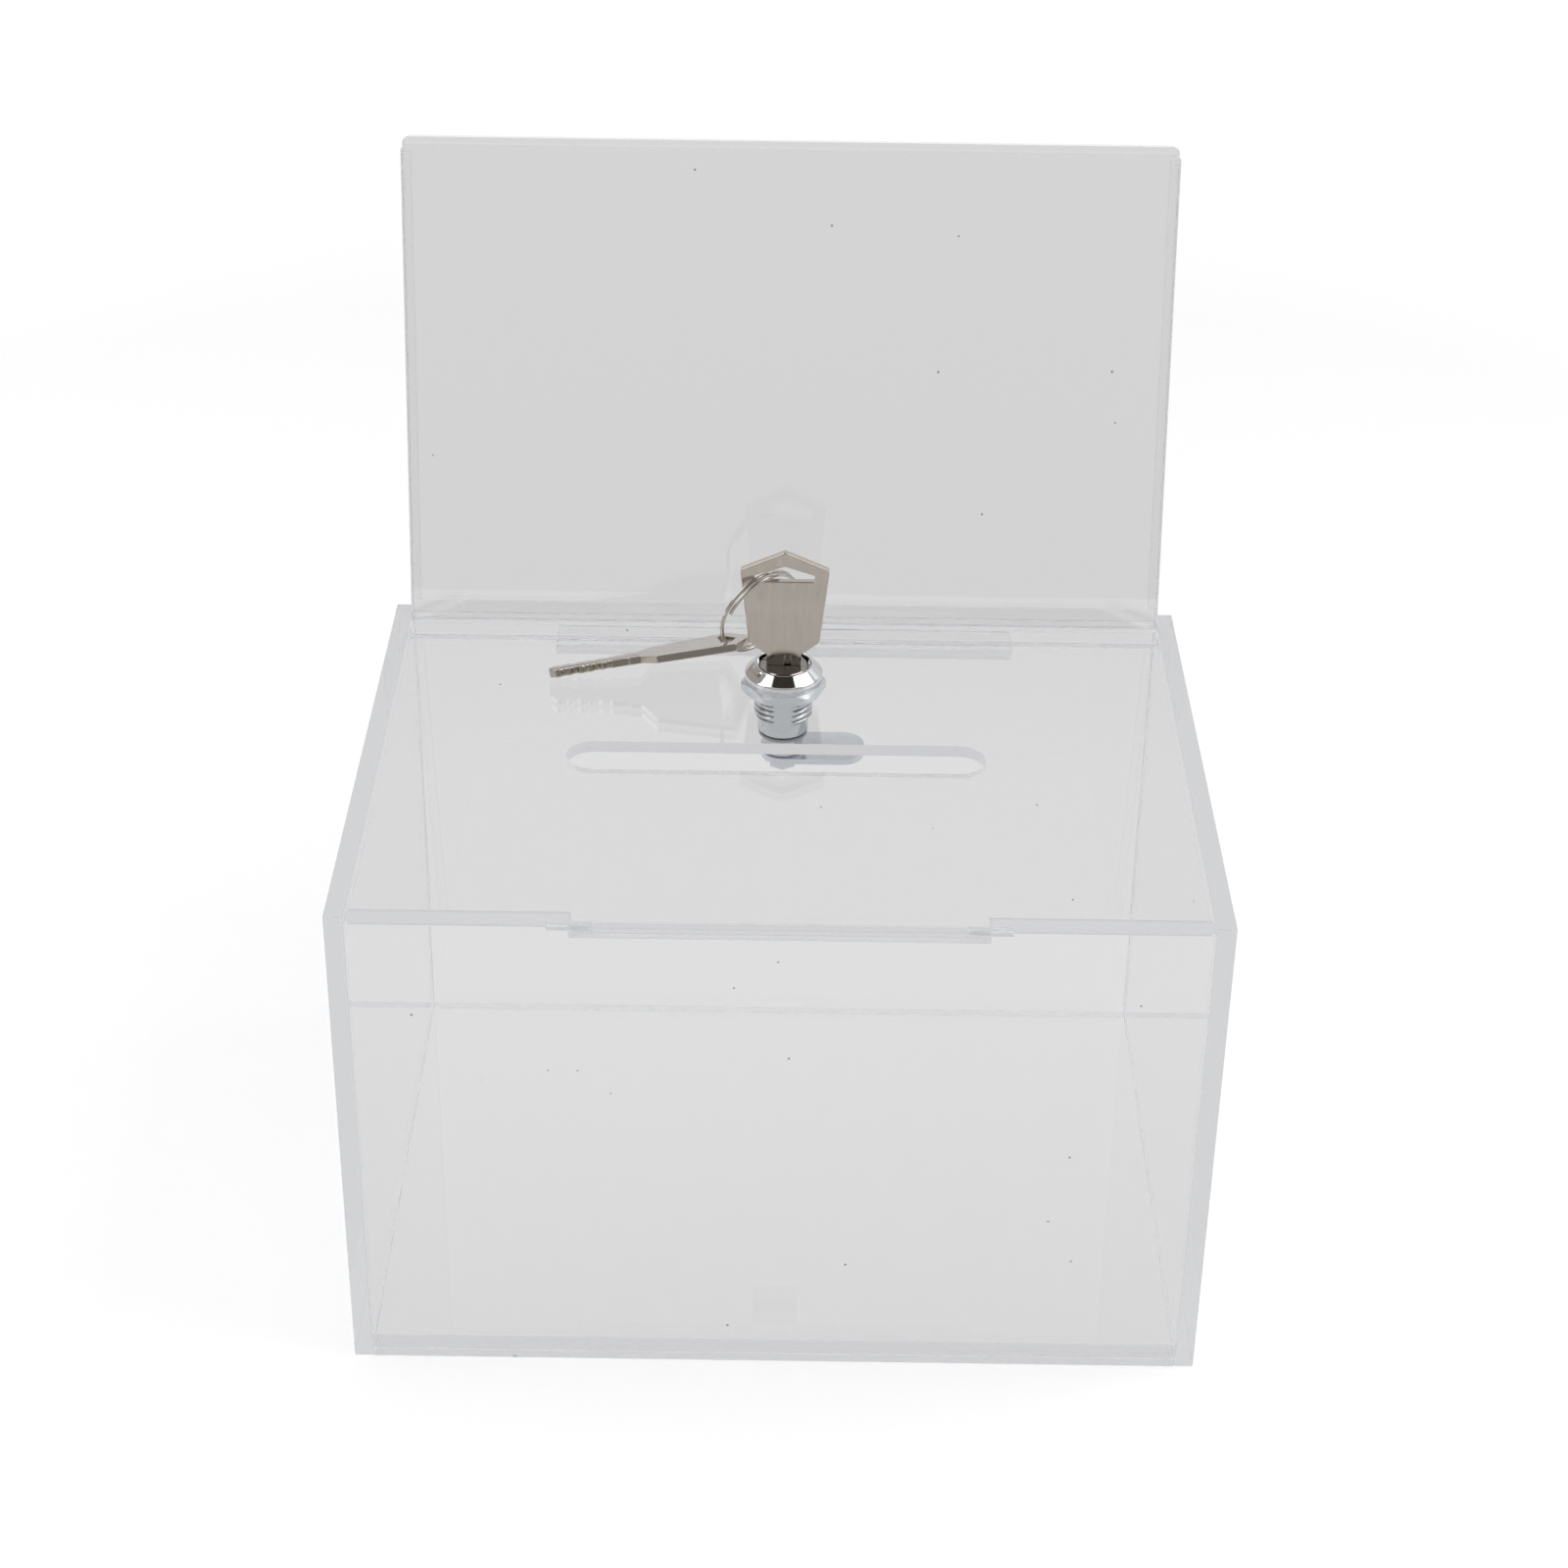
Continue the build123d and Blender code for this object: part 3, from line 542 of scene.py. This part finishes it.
# Clamping nut: bevelled hexagon with a ring of locking teeth on its lower face, in millimetres and degrees
lockNut = {
    "acrossFlats": 19.0, "turn": 5.0, "bevel": 30.0, "bore": 7.33, "body": 2.85, "cornerRound": 0.3,
    "columns": 120, "topGap": 0.02, "rimEase": 0.1, "bevelStart": 0.05, "smooth": 22,
    "teeth": 36, "toothPlace": 8.45, "toothLength": 1.9, "toothWidth": 0.46,
}


def toothTree():
    tree, given = newTree("lockingTeeth", {
        "Centre": "Vector", "Count": "Int", "Place": "Float", "Length": "Float", "Width": "Float",
        "Material": "Material"})
    circle = addNode(tree, "GeometryNodeMeshCircle",
                     links={"Vertices": given["Count"], "Radius": given["Place"]})
    prism = addNode(tree, "GeometryNodeMeshCylinder", {"Vertices": 3},
                    {"Radius": given["Width"], "Depth": given["Length"]})
    laid = addNode(tree, "GeometryNodeTransform", {"Rotation": (0, math.pi / 2, 0)},
                   {"Geometry": prism.outputs[0]})
    place = addNode(tree, "GeometryNodeInputPosition")
    outward = addNode(tree, "FunctionNodeAlignRotationToVector", links={"Vector": place.outputs[0]},
                      axis="X", pivot_axis="Z")
    teeth = addNode(tree, "GeometryNodeInstanceOnPoints",
                    links={"Points": circle.outputs[0], "Instance": laid.outputs[0],
                           "Rotation": outward.outputs[0]})
    centred = addNode(tree, "GeometryNodeTransform",
                      links={"Geometry": teeth.outputs[0], "Translation": given["Centre"]})
    joined = addNode(tree, "GeometryNodeJoinGeometry")
    tree.links.new(centred.outputs[0], joined.inputs[0])
    tree.links.new(given["Geometry"], joined.inputs[0])
    return closeTree(tree, joined.outputs[0], given)


def makeLockNut():
    size = lockNut
    half = size["acrossFlats"] / 2
    corner = half / math.cos(math.radians(30))
    top, low = nutHigh.z / mm - size["topGap"], nutHigh.z / mm - size["body"]
    rim = half - size["rimEase"]
    rings = [[] for _ in range(6)]
    for i in range(size["columns"]):
        angle = 360 * i / size["columns"]
        inSide = math.radians((angle - size["turn"]) % 60 - 30)
        reach = min(half / math.cos(inSide), corner - size["cornerRound"])
        drop = (reach - half) * math.tan(math.radians(size["bevel"])) + size["bevelStart"]
        way = Vector((math.cos(math.radians(angle)), math.sin(math.radians(angle)), 0))
        for ring, (r, z) in zip(rings, ((size["bore"], top), (rim, top), (reach, top - drop),
                                        (reach, low + drop), (rim, low), (size["bore"], low))):
            ring.append(lockCentre + way * r * mm + Vector((0, 0, z * mm)))
    nut = newPiece("lockNut", closedShell("lockNut", rings), zincPlate)
    growMesh(nut, toothTree(), {
        "Centre": Vector((lockCentre.x, lockCentre.y, low * mm)), "Count": size["teeth"],
        "Place": size["toothPlace"] * mm, "Length": size["toothLength"] * mm,
        "Width": size["toothWidth"] * mm, "Material": zincPlate})
    smoothTo(nut.data, size["smooth"])
    giveTo(nut, "lid", "zinc_plate", "lock_nut")


makeLockCap()
makeLockBarrel()
makeLockNut()
print("lock made")

# Keys: copies of the CAD keys with the rounded rim that blanking and tumbling leave
keyRim = {"round": 0.22 * mm, "steps": 3}


def makeKey(node, name, material):
    work = mergedCopy(node)
    roundEdges(work, keyRim["round"], keyRim["steps"], clamp=False)
    smoothNarrow(work, keyRim["round"])
    giveTo(newPiece(name, meshFrom(work, name), material), node, "nickel_plate", node)


makeKey("main_key", "mainKey", uprightNickel)
makeKey("spare_key", "spareKey", lyingNickel)


# The other CAD nodes keep their shape and take their own materials
def coverNode(node, material):
    mesh = nodes[node].data
    mesh.materials.clear()
    mesh.materials.append(material)


for node, material in {
    "hinge_pins": acrylicEdge, "lock_plug": satinPlug, "lock_wafers": waferBrass,
    "plug_retaining_ring": springSteel, "lock_cam": zincPlate, "tooth_washer": zincPlate,
    "cam_screw": zincPlate, "key_ring": nickelWire,
}.items():
    coverNode(node, material)
print("keys and small parts made")


# Studio. The camera was matched to the edges of the box in the photograph
cameraFit = {"place": (0.00003, -0.65077, 0.5061), "pitch": 59.087, "heading": -0.039, "roll": 0.827,
             "lens": 72.69, "sensor": 36, "nearClip": 0.02}
camera = bpy.data.objects.new("camera", bpy.data.cameras.new("camera"))
scene.collection.objects.link(camera)
camera.data.sensor_width = cameraFit["sensor"]
camera.data.lens = cameraFit["lens"]
camera.data.clip_start = cameraFit["nearClip"]
camera.matrix_world = (Matrix.Translation(cameraFit["place"])
                       @ Matrix.Rotation(math.radians(cameraFit["heading"]), 4, "Z")
                       @ Matrix.Rotation(math.radians(cameraFit["pitch"]), 4, "X")
                       @ Matrix.Rotation(math.radians(cameraFit["roll"]), 4, "Z"))
scene.camera = camera
scene.view_settings.view_transform = "Standard"

# The painted falls are pairs of place front to back and strength: painted light and shade on the paper that
# is seen behind the clear sheets
floorSweep = {
    "tone": "#DADADB", "reach": 3.0, "cameraLift": 0.35, "farLift": 0.8, "liftFrom": 0.6, "liftTo": 1.6,
    "glassLift": 0.985, "glassShare": 0.9, "glossLift": 0.7,
    "paintedFalls": ((-0.07, 0.91), (0.0, 0.965), (0.08, 1.025), (0.2, 1.02), (0.31, 0.955)),
}
sky = {
    "light": 0.6, "toCamera": 1.0, "glassLow": 0.572, "glassHigh": 0.78, "glassFrom": -0.05, "glassTo": 0.1,
    "roomGloss": 0.24, "tentGloss": 0.62, "frontDim": 0.45, "dimBelow": 0.05, "brightAbove": 0.45,
}
softboxes = {"side": 0.95, "back": -0.05, "height": 1.12, "width": 0.9, "depth": 1.0, "power": 5.5}
frontFill = {"place": (0, -1.6, 0.8), "width": 1.6, "depth": 1.0, "power": 5.0}
lampsAim = (0, 0, 0.12)
blackFlag = {"halfWidth": 0.46, "front": -0.75, "back": 0.1, "height": 1.1, "tone": "#3A3631", "glow": 1.0}


def plane(name, x, front, back, height):
    mesh = bpy.data.meshes.new(name)
    corners = [(-x, front, height), (x, front, height), (x, back, height), (-x, back, height)]
    mesh.from_pydata(corners, [], [(0, 1, 2, 3)])
    return mesh


def makeFloor():
    # Pale paper that fades to white far off, and shows rays that came through a sheet a grey with painted
    # light and shade front to back
    size = floorSweep
    mesh = plane("studioFloor", size["reach"], -size["reach"], size["reach"], 0)
    material, tree = newMaterial("palePaperSweep")
    path = addNode(tree, "ShaderNodeLightPath")
    points = objectPoints(tree)
    away = addNode(tree, "ShaderNodeVectorMath", links={0: points}, operation="LENGTH")
    rise = spread(tree, away.outputs["Value"], size["liftFrom"], size["liftTo"], size["cameraLift"],
                  size["farLift"])
    forCamera = addNode(tree, "ShaderNodeMath", links={0: path.outputs["Is Camera Ray"], 1: rise},
                        operation="MULTIPLY")
    forGloss = addNode(tree, "ShaderNodeMath", {1: size["glossLift"]}, {0: path.outputs["Is Glossy Ray"]},
                       operation="MULTIPLY")
    lift = addNode(tree, "ShaderNodeMath", links={0: forCamera.outputs[0], 1: forGloss.outputs[0]},
                   operation="ADD")
    paper = addNode(tree, "ShaderNodeBsdfDiffuse", {"Color": linearColour(size["tone"])})
    glow = addNode(tree, "ShaderNodeEmission", {"Color": (1, 1, 1, 1)}, {"Strength": lift.outputs[0]})
    lit = addNode(tree, "ShaderNodeAddShader", links={0: paper.outputs[0], 1: glow.outputs[0]})
    where = addNode(tree, "ShaderNodeSeparateXYZ", links={0: points})
    paintedFalls = size["paintedFalls"]
    front, back = paintedFalls[0][0], paintedFalls[-1][0]
    paintedFall = addNode(tree, "ShaderNodeValToRGB", links={0: spread(tree, where.outputs["Y"], front, back, 0, 1)})
    stops = paintedFall.color_ramp.elements
    while len(stops) < len(paintedFalls):
        stops.new(0.5)
    for stop, (y, share) in zip(stops, paintedFalls):
        stop.position = (y - front) / (back - front)
        stop.color = [share * size["glassLift"]] * 3 + [1]
    # Rays through the sheets see the paper as an emission, brighter and darker front to back: painted light
    # and shade
    throughGlass = addNode(tree, "ShaderNodeEmission", {"Color": linearColour(size["tone"])},
                           {"Strength": paintedFall.outputs[0]})
    share = addNode(tree, "ShaderNodeMath", {1: size["glassShare"]}, {0: path.outputs["Is Transmission Ray"]},
                    operation="MULTIPLY")
    seen = addNode(tree, "ShaderNodeMixShader",
                   links={0: share.outputs[0], 1: lit.outputs[0], 2: throughGlass.outputs[0]})
    addNode(tree, "ShaderNodeOutputMaterial", links={"Surface": seen.outputs[0]})
    newPiece("studioFloor", mesh, material)


def makeSky():
    # A light tent: plain light on the object, and for mirrors a dim front room under a bright roof
    world = bpy.data.worlds.new("studioSky")
    scene.world = world
    world.use_nodes = True
    tree = world.node_tree
    tree.nodes.clear()
    path = addNode(tree, "ShaderNodeLightPath")
    way = addNode(tree, "ShaderNodeTexCoord")
    parts = addNode(tree, "ShaderNodeSeparateXYZ", links={0: way.outputs["Generated"]})
    height = addNode(tree, "ShaderNodeMath", {1: sky["frontDim"]},
                     {0: parts.outputs["Y"], 2: parts.outputs["Z"]}, operation="MULTIPLY_ADD")
    roof = spread(tree, height.outputs[0], sky["dimBelow"], sky["brightAbove"], sky["roomGloss"],
                  sky["tentGloss"], interpolation_type="SMOOTHSTEP")
    glass = spread(tree, parts.outputs["Z"], sky["glassFrom"], sky["glassTo"],
                   sky["glassLow"], sky["glassHigh"])
    level = addNode(tree, "ShaderNodeMix", {"A": sky["light"]},
                    {"Factor": path.outputs["Is Glossy Ray"], "B": roof})
    level = addNode(tree, "ShaderNodeMix", links={"Factor": path.outputs["Is Transmission Ray"],
                                                  "A": level.outputs[0], "B": glass})
    level = addNode(tree, "ShaderNodeMix", {"B": sky["toCamera"]},
                    {"Factor": path.outputs["Is Camera Ray"], "A": level.outputs[0]})
    glow = addNode(tree, "ShaderNodeBackground", {"Color": (1, 1, 1, 1)}, {"Strength": level.outputs[0]})
    addNode(tree, "ShaderNodeOutputWorld", links={"Surface": glow.outputs[0]})


def addSoftbox(name, place, size):
    light = bpy.data.lights.new(name, "AREA")
    light.shape = "RECTANGLE"
    light.size, light.size_y = size["width"], size["depth"]
    light.energy = size["power"]
    lamp = bpy.data.objects.new(name, light)
    scene.collection.objects.link(lamp)
    toObject = Vector(lampsAim) - Vector(place)
    lamp.matrix_world = Matrix.Translation(place) @ toObject.to_track_quat("-Z", "Y").to_matrix().to_4x4()
    return lamp


def makeFlag():
    # A dark card between the softboxes that only reflections see, for contrast in the bright metal
    material, tree = newMaterial("blackCard")
    card = addNode(tree, "ShaderNodeEmission",
                   {"Color": linearColour(blackFlag["tone"]), "Strength": blackFlag["glow"]})
    addNode(tree, "ShaderNodeOutputMaterial", links={"Surface": card.outputs[0]})
    mesh = plane("blackFlag", blackFlag["halfWidth"], blackFlag["front"], blackFlag["back"],
                 blackFlag["height"])
    flag = newPiece("blackFlag", mesh, material)
    flag.visible_camera = flag.visible_diffuse = flag.visible_transmission = flag.visible_shadow = False


makeFloor()
makeSky()
for name, side in (("leftSoftbox", -1), ("rightSoftbox", 1)):
    addSoftbox(name, (side * softboxes["side"], softboxes["back"], softboxes["height"]), softboxes)
fill = addSoftbox("frontFill", frontFill["place"], frontFill)
fill.visible_glossy = fill.visible_transmission = False
makeFlag()
print("studio made")
